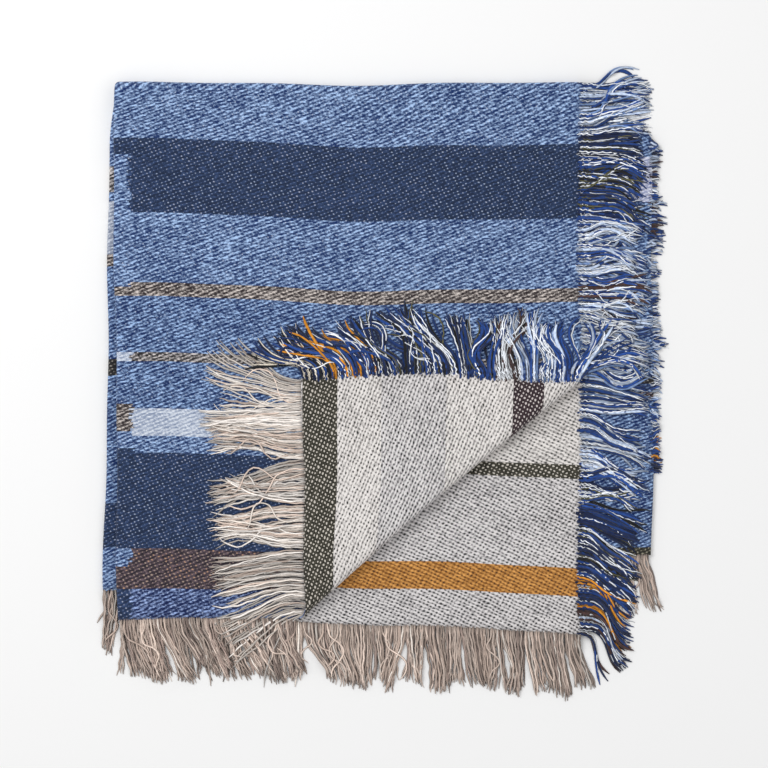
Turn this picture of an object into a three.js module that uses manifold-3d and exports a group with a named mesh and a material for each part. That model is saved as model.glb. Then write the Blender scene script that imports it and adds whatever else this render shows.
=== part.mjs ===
// A woven cotton throw, folded in four, with one corner turned back and loose fringe on its open edges.
// Sizes are in millimetres. x runs from the left fold to the right, y towards the top fold, and z up.
// The layers are numbered from the top: 1 and 4 are the outer ones at the top fold, 2 and 3 the inner ones.

import * as THREE from 'three';
import { mergeVertices } from 'three/addons/utils/BufferGeometryUtils.js';
import Module from 'manifold-3d';

const wasm = await Module();
wasm.setup();

const { clamp, lerp, smoothstep } = THREE.MathUtils;

// The cloth
const THICKNESS = 2.4;
const HALF_WIDTH = 585;
const UPPER_LENGTH = 671;
const LOWER_LENGTH = 634;
const LAYER_PITCH = 3.6;

// The folds: how far two layers stand apart where they join, and how far from the fold that dies away
const LEFT_LOOP = 7;
const TOP_LOOP = 6;
const LOOP_REACH = 55;

// The lower half lies askew: wider to the right, drifting left, and shorter on the right
const LOWER = {
  layer3Width: 676,
  layer4Width: 635,
  spread: 75,
  leftStep: 5,
  leftDrift: 9,
  shortening: 0.071,
};

// The upper half's fold drifts right towards the hem, and layer 2's hem droops at the right
const UPPER_DRIFT = 5;
const DRIFT_POWER = 1.5;
const LAYER2_DROOP = 0.034;

// The turned back corner: its roll runs from the hem to the side, and its loose point lies at FLAP_POINT.
// Its upper edge bows upwards, most of all near its point.
const ROLL = { hemX: 227.5, sideY: -368.75, radius: 8, bow: 5, bowReach: 55, settle: 150 };
const FLAP_POINT = new THREE.Vector2(231, -368);
const FLAP_BOW = { height: 9.5, skew: 0.5, reach: 120 };

// Soft swells of the whole stack, and the wander of its edges, each as waves over so many millimetres
const SWELLS = [
  { height: 1.1, overX: 47, overY: 83, phase: 0.6 },
  { height: 0.9, overX: -96, overY: 58, phase: 2.1 },
];
const WANDER_X = [{ reach: 1.6, over: 71, phase: 0.9 }, { reach: 0.8, over: 29, phase: 0 }];
const WANDER_Y = [{ reach: 1.9, over: 68, phase: 0.4 }, { reach: 0.9, over: 31, phase: 1.3 }];

// Fringe
const SEAM_GAP = 0.3;
const STRIP_WIDTH = 3;
const LOCK = { height: 1.9, tipHeight: 1, rootShare: 0.78, tipWidth: 2.2, stations: 3, clearance: 0.45 };
const LOCK_CURVES = { curl: 1.4, taper: 1.3, droop: 0.7 };
const LOCK_SAMPLES = 6;
const AHEAD_SHARE = 0.05;
const LEAN_WANDER = [{ lean: 0.09, turn: 1.3 }, { lean: 0.07, turn: 0.61 }];
const REACH_WANDER = { share: 0.09, turn: 2.4 };

// Mesh steps along the cloth, and across the turned back roll
const CLOTH_STEP = 58;
const ARC_STEPS = 3;
const ROLL_STEPS = 6;
const NEAR_FOLD = 14;
const BESIDE_FOLD = 44;
const SETTLE_CUTS = [0.3, 0.6];
const CUT_SNAP = 0.8;
const FAR_AWAY = -1e6;
const WELD = 1e-4;
const NORMAL_STEP = 0.02;
const GROUND_CELL = 2.5;
const GROUND_STEP = 2;
const LOOK_STEP = 1.6;

// Each layer's hem and side, with the signs of its quarter: across is + on layers 1 and 4, along + on 1 and 2
const LAYERS = {
  4: { across: 1, along: -1 },
  3: { across: -1, along: -1 },
  2: { across: -1, along: 1 },
  1: { across: 1, along: 1 },
};

const TURNED_BACK = 0;

const COLOURS = { cloth: 0x6f84ad, weft: 0x4a64a0, warp: 0xcbbda6 };

// Fringe, from the bottom layer up. from and to are distances along the edge, from the fold it starts at.
// lean is how far a lock's tip goes sideways for each millimetre of reach, at even steps along the stretch.
const FRINGES = [
  { name: 'fringe_layer4_hem', layer: 4, edge: 'hem', from: 22, to: 578, locks: 22, reach: 66,
    lean: [0.1, 0.1] },
  { name: 'fringe_layer4_side', layer: 4, edge: 'side', from: 90, to: 500, locks: 18, reach: 64,
    lean: [0, 0.05] },
  { name: 'fringe_layer3_hem', layer: 3, edge: 'hem', from: 8, to: 580, locks: 24, reach: 74,
    lean: [-0.25, 0, 0.05, 0.1, 0.3] },
  { name: 'fringe_layer3_side', layer: 3, edge: 'side', from: 76, to: 500, locks: 20, reach: 22,
    lean: [0, 0.1] },
  { name: 'fringe_layer2_hem', layer: 2, edge: 'hem', from: 14, to: 583, locks: 30, reach: 78,
    lean: [0.15, 0.12, 0.25] },
  { name: 'fringe_layer2_side', layer: 2, edge: 'side', from: 12, to: 668, locks: 36, reach: 76,
    lean: [-0.2, 0.05, 0.1, 0.2, 0.7] },
  { name: 'fringe_layer1_hem', layer: 1, edge: 'hem', from: 14, to: 210, locks: 12, reach: 76,
    lean: [0.12, 0.25, 0.15] },
  { name: 'fringe_layer1_side', layer: 1, edge: 'side', from: 6, to: 352, locks: 22, reach: 78,
    lean: [-0.45, -0.4, 0.05, 0.08, 0.1, 0.1, 0.1] },
  { name: 'fringe_flap_left', layer: 1, edge: 'hem', from: 262, to: 580, locks: 20, reach: 108,
    lean: [-0.05, -0.05, -0.05, 0, 0.35], turnedBack: true },
  { name: 'fringe_flap_top', layer: 1, edge: 'side', from: 400, to: 668, locks: 20, reach: 76,
    lean: [-0.3, -0.1, 0.05, 0.35, 0.9], turnedBack: true },
];

// The sum of the waves that an edge wanders by
function wander(waves, at) {
  return waves.reduce((sum, { reach, over, phase }) => sum + reach * Math.sin(at / over + phase), 0);
}

// The unevenness of the whole stack: the swells grow with height
function settle(point) {
  const { x, y } = point;
  const stackHeight = THICKNESS / 2 + 3 * LAYER_PITCH;
  const share = clamp((point.z - THICKNESS / 2) / stackHeight, 0, 2);
  for (const { height, overX, overY, phase } of SWELLS) {
    point.z += share * height * Math.sin(x / overX + y / overY + phase);
  }
  point.x += wander(WANDER_X, y);
  point.y += wander(WANDER_Y, x);
  return point;
}

// How far apart two layers are at a distance from their fold
function gapAt(distance, loop) {
  return LAYER_PITCH + (loop - LAYER_PITCH) * Math.exp(-((distance / LOOP_REACH) ** 2));
}

// Where a point of the flat cloth lies once it is folded in four. across is measured from the left fold
// and along from the top fold.
function foldInFour(across, along) {
  const leftArc = (Math.PI * LEFT_LOOP) / 4;
  const topArc = (Math.PI * (TOP_LOOP + LAYER_PITCH)) / 4;
  const fromLeft = Math.max(0, Math.abs(across) - leftArc);
  const fromTop = Math.max(0, Math.abs(along) - topArc);
  const pairGap = gapAt(fromLeft, LEFT_LOOP);
  const middleGap = gapAt(fromTop, TOP_LOOP);

  const leftTurn = (clamp(across / leftArc, -1, 1) * Math.PI) / 2;
  const topTurn = (clamp(along / topArc, -1, 1) * Math.PI) / 2;
  const rise = (pairGap / 2) * Math.sin(leftTurn);
  const outer = (middleGap + 2 * pairGap) / 2;
  const radius = (middleGap + pairGap) / 2 + rise;

  const lower = along < 0;
  const fullWidth = across < 0 ? LOWER.layer3Width : LOWER.layer4Width;
  const spread = lower ? lerp(1, fullWidth / HALF_WIDTH, smoothstep(-along, 0, LOWER.spread)) : 1;
  const drift = lower
    ? -LOWER.leftStep * smoothstep(-along, 0, LOWER.spread) + (LOWER.leftDrift * along) / LOWER_LENGTH
    : UPPER_DRIFT * (along / UPPER_LENGTH) ** DRIFT_POWER;
  const straightX = (LEFT_LOOP / 2) * (1 - Math.cos(leftTurn)) + fromLeft * spread;
  const x = straightX + drift * Math.max(0, 1 - straightX / HALF_WIDTH);

  const rightShare = x / LOWER.layer3Width;
  const droop = across < 0 ? LAYER2_DROOP * (x / HALF_WIDTH) ** 2 : 0;
  const lengthShare = lower ? 1 - LOWER.shortening * rightShare : 1 + droop;
  const y = -outer + radius * Math.cos(topTurn) - fromTop * lengthShare;
  const z = THICKNESS / 2 + outer + radius * Math.sin(topTurn);
  return new THREE.Vector3(x, y, z);
}

// The line that the corner turns back on, with its direction and its normal towards the loose corner
const rollStart = new THREE.Vector2(ROLL.hemX, -UPPER_LENGTH);
const rollEnd = new THREE.Vector2(HALF_WIDTH, ROLL.sideY);
const rollAlong = rollEnd.clone().sub(rollStart).normalize();
const rollNormal = new THREE.Vector2(rollAlong.y, -rollAlong.x);
const rollLength = rollEnd.distanceTo(rollStart);
const flatCorner = foldInFour(HALF_WIDTH, UPPER_LENGTH);
const corner = new THREE.Vector2(flatCorner.x, flatCorner.y).sub(rollStart);
const flapPoint = FLAP_POINT.clone().sub(rollStart);

// The turned back part's length and slant, so that its corner lands on the flap's point
const flapFlat = corner.dot(rollNormal) + ROLL.radius * (1 - Math.PI);
const flapRun = -flapPoint.dot(rollNormal) - ROLL.radius;
const flapStretch = flapRun / flapFlat;
const flapSlant = (flapPoint.dot(rollAlong) - corner.dot(rollAlong)) / flapRun;

function beyondRoll(x, y) {
  return new THREE.Vector2(x, y).sub(rollStart).dot(rollNormal);
}

function turnBack(point) {
  const { radius } = ROLL;
  const place = new THREE.Vector2(point.x, point.y).sub(rollStart);
  const arc = place.dot(rollNormal) + radius;
  let alongRoll = place.dot(rollAlong);
  let acrossRoll = place.dot(rollNormal);
  const run = Math.max(0, arc - Math.PI * radius) * flapStretch;
  if (arc > 0) {
    const turn = Math.min(arc / radius, Math.PI);
    const lift = Math.cos((Math.PI / 2) * Math.min(1, run / ROLL.settle)) ** 2;
    acrossRoll = -radius + radius * Math.sin(turn) - run;
    alongRoll += flapSlant * run;
    point.z += run > 0 ? lerp(LAYER_PITCH, 2 * radius, lift) : radius * (1 - Math.cos(turn));
  }
  const bowShare = Math.sin(Math.PI * clamp(alongRoll / rollLength, 0, 1));
  acrossRoll -= ROLL.bow * bowShare * Math.exp(-((acrossRoll / ROLL.bowReach) ** 2));
  point.x = rollStart.x + rollAlong.x * alongRoll + rollNormal.x * acrossRoll;
  point.y = rollStart.y + rollAlong.y * alongRoll + rollNormal.y * acrossRoll;
  const rightwards = Math.PI * clamp((point.x - FLAP_POINT.x) / (HALF_WIDTH - FLAP_POINT.x), 0, 1);
  const bowed = Math.sin(rightwards) * (1 + FLAP_BOW.skew * Math.cos(rightwards));
  point.y += FLAP_BOW.height * bowed * smoothstep(run, 0, FLAP_BOW.reach);
  return point;
}

// The middle of the cloth's thickness at a point of the flat cloth
function clothPoint(across, along) {
  const point = foldInFour(across, along);
  if (across > 0 && along > 0) turnBack(point);
  return settle(point);
}

function clothNormal(across, along) {
  const step = NORMAL_STEP;
  const alongCloth = clothPoint(across, along + step).sub(clothPoint(across, along - step));
  const acrossCloth = clothPoint(across + step, along).sub(clothPoint(across - step, along));
  return alongCloth.cross(acrossCloth).normalize();
}

// Lines from one value to another, evenly spaced, no further apart than step
function evenLines(from, to, step) {
  const count = Math.max(1, Math.round(Math.abs(to - from) / step));
  return Array.from({ length: count + 1 }, (_, i) => lerp(from, to, i / count));
}

// Lines across a fold: close together on its arc, then widening out to the edge on each side
function linesAcrossFold(arc, low, high) {
  const lines = [
    ...evenLines(low, -arc - BESIDE_FOLD, CLOTH_STEP),
    -arc - NEAR_FOLD,
    ...evenLines(-arc, arc, arc / ARC_STEPS),
    arc + NEAR_FOLD,
    ...evenLines(arc + BESIDE_FOLD, high, CLOTH_STEP),
  ];
  return lines.sort((p, q) => p - q);
}

const acrossLines = linesAcrossFold((Math.PI * LEFT_LOOP) / 4, -HALF_WIDTH, HALF_WIDTH);
const alongLines = linesAcrossFold((Math.PI * (TOP_LOOP + LAYER_PITCH)) / 4, -LOWER_LENGTH, UPPER_LENGTH);

// A flat grid of triangles between two sets of lines
function flatGrid(across, along) {
  const points = [];
  const triangles = [];
  for (const u of across) for (const v of along) points.push([u, v]);
  for (let i = 0; i + 1 < across.length; i += 1) {
    for (let j = 0; j + 1 < along.length; j += 1) {
      const a = i * along.length + j;
      const b = a + along.length;
      if ((i + j) % 2) triangles.push([a, b, b + 1], [a, b + 1, a + 1]);
      else triangles.push([a, b, a + 1], [b, b + 1, a + 1]);
    }
  }
  return { points, triangles };
}

// Cuts the grid's triangles along a line parallel to the roll, so that the roll gets straight facets
function cutAlongRoll(grid, distance) {
  const offset = grid.points.map(([across, along]) => {
    if (across <= 0 || along <= 0) return FAR_AWAY;
    const flat = foldInFour(across, along);
    const value = beyondRoll(flat.x, flat.y) - distance;
    return Math.abs(value) < CUT_SNAP ? 0 : value;
  });
  const made = new Map();
  const between = (p, q) => {
    const key = p < q ? `${p} ${q}` : `${q} ${p}`;
    if (!made.has(key)) {
      const share = offset[p] / (offset[p] - offset[q]);
      const [a, b] = [grid.points[p], grid.points[q]];
      made.set(key, grid.points.push([lerp(a[0], b[0], share), lerp(a[1], b[1], share)]) - 1);
    }
    return made.get(key);
  };
  grid.triangles = grid.triangles.flatMap((triangle) => {
    const sides = triangle.map((p) => Math.sign(offset[p]));
    if (!sides.includes(1) || !sides.includes(-1)) return [triangle];
    if (sides.includes(0)) {
      const [p, q, r] = turned(triangle, sides.indexOf(0));
      const middle = between(q, r);
      return [[p, q, middle], [p, middle, r]];
    }
    const lone = sides.findIndex((side) => sides.filter((other) => other === side).length === 1);
    const [p, q, r] = turned(triangle, lone);
    const [onQ, onR] = [between(p, q), between(p, r)];
    return [[p, onQ, onR], [onQ, q, r], [onQ, r, onR]];
  });
}

function turned(triangle, first) {
  return [0, 1, 2].map((k) => triangle[(first + k) % 3]);
}

// The closed solid of a stretch of cloth: its face, its reverse and the rim that joins them
function clothSolid(across, along) {
  const grid = flatGrid(across, along);
  if (Math.max(...across) > 0 && Math.max(...along) > 0) {
    for (let k = 0; k <= ROLL_STEPS; k += 1) {
      cutAlongRoll(grid, -ROLL.radius + (Math.PI * ROLL.radius * k) / ROLL_STEPS);
    }
    for (const share of SETTLE_CUTS) {
      cutAlongRoll(grid, -ROLL.radius + Math.PI * ROLL.radius + share * ROLL.settle);
    }
  }
  const count = grid.points.length;
  const positions = new Float32Array(count * 6);
  grid.points.forEach(([u, v], i) => {
    const middle = clothPoint(u, v);
    const half = clothNormal(u, v).multiplyScalar(THICKNESS / 2);
    middle.clone().add(half).toArray(positions, i * 3);
    middle.clone().sub(half).toArray(positions, (count + i) * 3);
  });
  const rim = new Map();
  const index = [];
  for (const [a, b, c] of grid.triangles) {
    index.push(a, c, b, count + a, count + b, count + c);
    for (const [p, q] of [[a, b], [b, c], [c, a]]) {
      if (!rim.delete(`${q} ${p}`)) rim.set(`${p} ${q}`, [p, q]);
    }
  }
  for (const [p, q] of rim.values()) index.push(p, q, count + q, p, count + q, count + p);
  const geometry = new THREE.BufferGeometry();
  geometry.setAttribute('position', new THREE.BufferAttribute(positions, 3));
  geometry.setIndex(index);
  return { geometry: facingOut(geometry), grid };
}

function facingOut(geometry) {
  const volume = signedVolume(geometry);
  if (volume < 0) {
    const { array } = geometry.index;
    for (let i = 0; i < array.length; i += 3) [array[i], array[i + 1]] = [array[i + 1], array[i]];
  }
  return geometry;
}

function signedVolume(geometry) {
  const { position } = geometry.attributes;
  const { array } = geometry.index;
  const [a, b, c] = [new THREE.Vector3(), new THREE.Vector3(), new THREE.Vector3()];
  let volume = 0;
  for (let i = 0; i < array.length; i += 3) {
    a.fromBufferAttribute(position, array[i]);
    b.fromBufferAttribute(position, array[i + 1]);
    c.fromBufferAttribute(position, array[i + 2]);
    volume += a.dot(b.cross(c)) / 6;
  }
  return volume;
}

// The height of what has been laid so far, kept for each small square of the surface
const ground = {
  heights: new Map(),
  key: (x, y) => `${Math.round(x / GROUND_CELL)} ${Math.round(y / GROUND_CELL)}`,
  raise(x, y, z) {
    const key = this.key(x, y);
    if (z > (this.heights.get(key) ?? 0)) this.heights.set(key, z);
  },
  lay(corners) {
    const [a, b, c] = corners;
    const longest = Math.max(a.distanceTo(b), b.distanceTo(c), c.distanceTo(a));
    const steps = Math.ceil(longest / GROUND_STEP);
    for (let i = 0; i <= steps; i += 1) {
      for (let j = 0; i + j <= steps; j += 1) {
        const [p, q] = [i / steps, j / steps];
        const point = a.clone().multiplyScalar(1 - p - q).addScaledVector(b, p).addScaledVector(c, q);
        this.raise(point.x, point.y, point.z);
      }
    }
  },
  layGeometry(geometry, keep = () => true) {
    const { position } = geometry.attributes;
    const index = geometry.index.array;
    for (let i = 0; i < index.length; i += 3) {
      if (!keep(i / 3)) continue;
      this.lay([0, 1, 2].map((k) => new THREE.Vector3().fromBufferAttribute(position, index[i + k])));
    }
  },
  highest(x, y, radius) {
    let height = 0;
    for (let dx = -radius; dx <= radius; dx += LOOK_STEP) {
      for (let dy = -radius; dy <= radius; dy += LOOK_STEP) {
        height = Math.max(height, this.heights.get(this.key(x + dx, y + dy)) ?? 0);
      }
    }
    return height;
  },
};

// A lock of yarns: three sides, its broad side down, from its root in the strip to its thin tip
function lock(root, direction, sideways, reach, rootWidth) {
  const { stations, clearance, height, tipHeight, tipWidth } = LOCK;
  const { curl, taper, droop } = LOCK_CURVES;
  const samples = stations * LOCK_SAMPLES;
  const place = (share) => root.clone()
    .addScaledVector(direction, reach * share)
    .add(new THREE.Vector3(-direction.y, direction.x, 0).multiplyScalar(sideways * reach * share ** curl));
  const width = (share) => lerp(rootWidth, tipWidth, share ** taper);
  const support = Array.from({ length: samples + 1 }, (_, i) => {
    const point = place(i / samples);
    const below = ground.highest(point.x, point.y, width(i / samples) / 2 + 1);
    return below > 0 ? below + clearance : 0;
  });
  const rings = Array.from({ length: stations + 1 }, (_, i) => {
    const share = i / stations;
    const centre = place(share);
    const beside = support.slice(Math.max(0, (i - 1) * LOCK_SAMPLES), (i + 1) * LOCK_SAMPLES + 1);
    const hanging = (root.z - height / 2) * (1 - share ** droop);
    const bottom = i === 0 ? root.z - height / 2 : Math.max(hanging, ...beside);
    const ahead = i === 0
      ? direction
      : place(Math.min(1, share + AHEAD_SHARE)).sub(place(share - AHEAD_SHARE)).setZ(0).normalize();
    const across = new THREE.Vector3(-ahead.y, ahead.x, 0).multiplyScalar(width(share) / 2);
    const low = centre.clone().setZ(bottom);
    return [
      low.clone().add(across),
      low.clone().sub(across),
      low.clone().setZ(bottom + lerp(height, tipHeight, share)),
    ];
  });
  const index = [0, 2, 1];
  for (let i = 0; i < stations; i += 1) {
    for (let k = 0; k < 3; k += 1) {
      const [a, b] = [i * 3 + k, i * 3 + ((k + 1) % 3)];
      index.push(a, b, b + 3, a, b + 3, a + 3);
    }
  }
  const last = stations * 3;
  index.push(last, last + 1, last + 2);
  const geometry = new THREE.BufferGeometry().setFromPoints(rings.flat());
  geometry.setIndex(index);
  return facingOut(geometry);
}

function toManifold(geometry) {
  const merged = mergeVertices(geometry, WELD);
  const vertProperties = new Float32Array(merged.attributes.position.array);
  return new wasm.Manifold(new wasm.Mesh({
    numProp: 3,
    vertProperties,
    triVerts: new Uint32Array(merged.index.array),
  }));
}

function fromManifold(solid) {
  const { vertProperties, triVerts } = solid.getMesh();
  const geometry = new THREE.BufferGeometry();
  geometry.setAttribute('position', new THREE.BufferAttribute(vertProperties, 3));
  geometry.setIndex(new THREE.BufferAttribute(triVerts, 1));
  return geometry;
}

// The place on the cloth at a distance along a fringed edge and outside it
function edgePlace(row, distance, outside) {
  const { across, along } = LAYERS[row.layer];
  if (row.edge === 'side') return [across * (HALF_WIDTH + outside), along * distance];
  const length = along > 0 ? UPPER_LENGTH : LOWER_LENGTH;
  return [across * distance, along * (length + outside)];
}

// A strip along the cloth's edge, with the same lines across it as the cloth has
function fringeStrip(row) {
  const [acrossFrom, alongFrom] = edgePlace(row, row.from, SEAM_GAP);
  const [acrossTo, alongTo] = edgePlace(row, row.to, SEAM_GAP + STRIP_WIDTH);
  const within = (lines, p, q) => {
    const [low, high] = [Math.min(p, q), Math.max(p, q)];
    const inner = lines.filter((value) => value > low + 1 && value < high - 1);
    return [low, ...inner, high];
  };
  const ends = (p, q) => [Math.min(p, q), Math.max(p, q)];
  const side = row.edge === 'side';
  const across = side ? ends(acrossFrom, acrossTo) : within(acrossLines, acrossFrom, acrossTo);
  const along = side ? within(alongLines, alongFrom, alongTo) : ends(alongFrom, alongTo);
  return clothSolid(across, along).geometry;
}

// A row's lean at a share of its stretch
function leanAt({ lean }, share) {
  const place = share * (lean.length - 1);
  const step = Math.min(Math.floor(place), lean.length - 2);
  return lerp(lean[step], lean[step + 1], place - step);
}

function fringe(row) {
  const pitch = (row.to - row.from) / row.locks;
  const rootWidth = pitch * LOCK.rootShare;
  let solid = toManifold(fringeStrip(row));
  for (let i = 0; i < row.locks; i += 1) {
    const share = (i + 0.5) / row.locks;
    const distance = row.from + (row.to - row.from) * share;
    const root = clothPoint(...edgePlace(row, distance, SEAM_GAP + STRIP_WIDTH / 2));
    const outer = clothPoint(...edgePlace(row, distance, SEAM_GAP + STRIP_WIDTH / 2 + 1));
    const next = clothPoint(...edgePlace(row, distance + 1, SEAM_GAP + STRIP_WIDTH / 2));
    const direction = outer.sub(root).setZ(0).normalize();
    const onward = next.sub(root).setZ(0);
    const handed = Math.sign(-direction.y * onward.x + direction.x * onward.y) || 1;
    const stray = ({ lean, turn }) => lean * Math.sin(i * turn + row.reach);
    const strays = LEAN_WANDER.reduce((sum, wave) => sum + stray(wave), 0);
    const sideways = handed * (leanAt(row, share) + strays);
    const reach = row.reach * (1 + REACH_WANDER.share * Math.sin(i * REACH_WANDER.turn + row.to));
    solid = solid.add(toManifold(lock(root, direction, sideways, reach, rootWidth)));
  }
  return fromManifold(solid);
}

function named(name, geometry, colour) {
  const material = new THREE.MeshStandardMaterial({ color: colour, roughness: 0.95, metalness: 0 });
  const mesh = new THREE.Mesh(geometry, material);
  mesh.name = name;
  return mesh;
}

const group = new THREE.Group();
const { geometry: blanket, grid } = clothSolid(acrossLines, alongLines);
group.add(named('blanket', blanket, COLOURS.cloth));

// Which layer each pair of face and reverse triangles belongs to
const layerOf = grid.triangles.map((triangle) => {
  const [across, along] = [0, 1].map((k) => triangle.reduce((sum, i) => sum + grid.points[i][k], 0) / 3);
  if (across > 0 && along > 0) {
    const flat = foldInFour(across, along);
    return beyondRoll(flat.x, flat.y) > -ROLL.radius ? TURNED_BACK : 1;
  }
  const isIts = ([, quarter]) => quarter.across * across > 0 && quarter.along * along > 0;
  return Number(Object.entries(LAYERS).find(isIts)[0]);
});

function layCloth(layer) {
  ground.layGeometry(blanket, (triangle) => layerOf[Math.floor(triangle / 2)] === layer);
}

// Each stretch of fringe lies on what is below its layer, and the turned back corner's on layer 1
for (const layer of [4, 3, 2, 1, TURNED_BACK]) {
  for (const row of FRINGES.filter((each) => (each.turnedBack ? TURNED_BACK : each.layer) === layer)) {
    const geometry = fringe(row);
    group.add(named(row.name, geometry, row.edge === 'hem' ? COLOURS.warp : COLOURS.weft));
    ground.layGeometry(geometry);
  }
  layCloth(layer);
}

// The origin is the middle of the underside
const box = new THREE.Box3().setFromObject(group);
const middle = box.getCenter(new THREE.Vector3());
group.position.set(-middle.x, -middle.y, -box.min.z);

export default group;
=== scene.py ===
import math
from collections import namedtuple

import bmesh
import bpy
import numpy as np
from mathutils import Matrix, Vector


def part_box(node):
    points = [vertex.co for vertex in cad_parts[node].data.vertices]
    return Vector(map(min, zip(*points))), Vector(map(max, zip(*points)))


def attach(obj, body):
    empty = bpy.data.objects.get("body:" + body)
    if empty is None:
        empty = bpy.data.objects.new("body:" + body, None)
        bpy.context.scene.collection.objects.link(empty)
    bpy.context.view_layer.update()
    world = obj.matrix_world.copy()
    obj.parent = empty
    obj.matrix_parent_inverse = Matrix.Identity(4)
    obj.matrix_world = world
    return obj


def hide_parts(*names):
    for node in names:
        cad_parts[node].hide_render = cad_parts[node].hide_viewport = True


bl_info = {
    "name": "Folded striped throw",
    "version": (1, 0, 0),
    "blender": (4, 5, 0),
    "location": "View3D > Sidebar > Throw",
    "description": "A fringed striped cotton throw, folded in four with one corner turned back",
    "category": "Add Mesh",
}

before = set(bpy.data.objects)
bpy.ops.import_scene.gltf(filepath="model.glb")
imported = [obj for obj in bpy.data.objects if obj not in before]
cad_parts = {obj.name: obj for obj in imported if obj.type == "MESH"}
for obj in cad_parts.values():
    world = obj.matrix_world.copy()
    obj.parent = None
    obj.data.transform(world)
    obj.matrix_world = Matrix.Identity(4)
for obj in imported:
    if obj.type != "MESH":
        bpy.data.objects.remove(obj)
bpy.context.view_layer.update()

MM = 0.001

# The cloth and its folds, in millimetres. x runs from the left fold, y towards the top fold, z up.
# Layers are numbered from the top. across is measured on the cloth from the left fold, + on layers 1
# and 4, and along from the top fold, + on layers 1 and 2.
THICKNESS = 2.4
HALF_WIDTH = 585.0
UPPER_LENGTH = 671.0
LOWER_LENGTH = 634.0
LAYER_PITCH = 3.6
LEFT_LOOP = 7.0
TOP_LOOP = 6.0
LOOP_REACH = 55.0
LAYER3_WIDTH = 676.0
LAYER4_WIDTH = 635.0
LOWER_SPREAD = 75.0
LOWER_LEFT_STEP = 5.0
LOWER_LEFT_DRIFT = 9.0
LOWER_SHORTENING = 0.071
UPPER_DRIFT = 5.0
DRIFT_POWER = 1.5
LAYER2_DROOP = 0.034
LEFT_ARC = math.pi * LEFT_LOOP / 4
TOP_ARC = math.pi * (TOP_LOOP + LAYER_PITCH) / 4

# The stack's soft swells, as height, wavelengths along x and y, and phase, and the waves by which its edges
# wander, as reach, wavelength and phase
SWELLS = ((1.1, 47, 83, 0.6), (0.9, -96, 58, 2.1))
WANDER_X = ((1.6, 71, 0.9), (0.8, 29, 0.0))
WANDER_Y = ((1.9, 68, 0.4), (0.9, 31, 1.3))

# The turned back corner
ROLL_START = np.array([227.5, -UPPER_LENGTH])
ROLL_END = np.array([HALF_WIDTH, -368.75])
ROLL_RADIUS = 8.0
ROLL_BOW = 5.0
ROLL_BOW_REACH = 55.0
ROLL_SETTLE = 150.0
FLAP_POINT = np.array([231.0, -368.0])
FLAP_BOW = 9.5
FLAP_BOW_SKEW = 0.5
FLAP_BOW_REACH = 120.0

# The cloth's mesh and surface. Its edges are thinner by a share, and its fine unevenness is two crossed
# waves, each with a wavelength, a bend and the bend's wavelength.
CLOTH_STEP = 7.0
ARC_STEPS = 10
ROLL_LINES = 17
EDGE_TAPER = 7.0
EDGE_SHARE = 0.45
FINE_HEIGHT = 0.22
FINE_ACROSS = (13, 2, 41)
FINE_ALONG = (17, 1.5, 37)
FINE_FADE = (20, 60)

LAYERS = {4: (1, -1), 3: (-1, -1), 2: (-1, 1), 1: (1, 1)}

# Weave: a five-end satin, one warp end over the face in five, at the pitches that the photograph shows
WARP_PITCH = 2.27
WEFT_PITCH = 1.9
SATIN = 5

# The stripes' bow on layer 1: an arch, a pull that grows towards the right edge, and where both fade
BOW_ARCH = 9.0
BOW_SPAN = 731.0
BOW_PULL = 5.5
BOW_POWER = 1.5
BOW_START = -4.5
BOW_FADE_IN = (10, 60)
BOW_FADE_OUT = (610, 668)
ROLL_BLEND = 40.0


def smoothstep(value, low, high):
    share = np.clip((value - low) / (high - low), 0, 1)
    return share * share * (3 - 2 * share)


def lerp(low, high, share):
    return low + (high - low) * share


def gap_at(distance, loop):
    """How far apart two layers are at a distance from their fold."""
    return LAYER_PITCH + (loop - LAYER_PITCH) * np.exp(-((distance / LOOP_REACH) ** 2))


def spread_at(across, along):
    """How much the fanned out lower layers spread sideways."""
    full_width = np.where(across < 0, LAYER3_WIDTH, LAYER4_WIDTH)
    return np.where(along < 0, lerp(1, full_width / HALF_WIDTH, smoothstep(-along, 0, LOWER_SPREAD)), 1)


def fold_in_four(across, along):
    """Where points of the flat cloth lie once it is folded in four."""
    from_left = np.maximum(0, np.abs(across) - LEFT_ARC)
    from_top = np.maximum(0, np.abs(along) - TOP_ARC)
    pair_gap = gap_at(from_left, LEFT_LOOP)
    middle_gap = gap_at(from_top, TOP_LOOP)
    left_turn = np.clip(across / LEFT_ARC, -1, 1) * math.pi / 2
    top_turn = np.clip(along / TOP_ARC, -1, 1) * math.pi / 2
    rise = pair_gap / 2 * np.sin(left_turn)
    outer = (middle_gap + 2 * pair_gap) / 2
    radius = (middle_gap + pair_gap) / 2 + rise

    lower = along < 0
    opening = smoothstep(-along, 0, LOWER_SPREAD)
    lower_drift = -LOWER_LEFT_STEP * opening + LOWER_LEFT_DRIFT * along / LOWER_LENGTH
    upper_drift = UPPER_DRIFT * (np.maximum(along, 0) / UPPER_LENGTH) ** DRIFT_POWER
    straight_x = LEFT_LOOP / 2 * (1 - np.cos(left_turn)) + from_left * spread_at(across, along)
    x = straight_x + np.where(lower, lower_drift, upper_drift) * np.maximum(0, 1 - straight_x / HALF_WIDTH)
    droop = np.where(across < 0, LAYER2_DROOP * (x / HALF_WIDTH) ** 2, 0)
    length_share = np.where(lower, 1 - LOWER_SHORTENING * x / LAYER3_WIDTH, 1 + droop)
    y = -outer + radius * np.cos(top_turn) - from_top * length_share
    z = THICKNESS / 2 + outer + radius * np.sin(top_turn)
    return np.stack([x, y, z], axis=-1)


ROLL_LENGTH = np.linalg.norm(ROLL_END - ROLL_START)
ROLL_ALONG = (ROLL_END - ROLL_START) / ROLL_LENGTH
ROLL_NORMAL = np.array([ROLL_ALONG[1], -ROLL_ALONG[0]])


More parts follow.
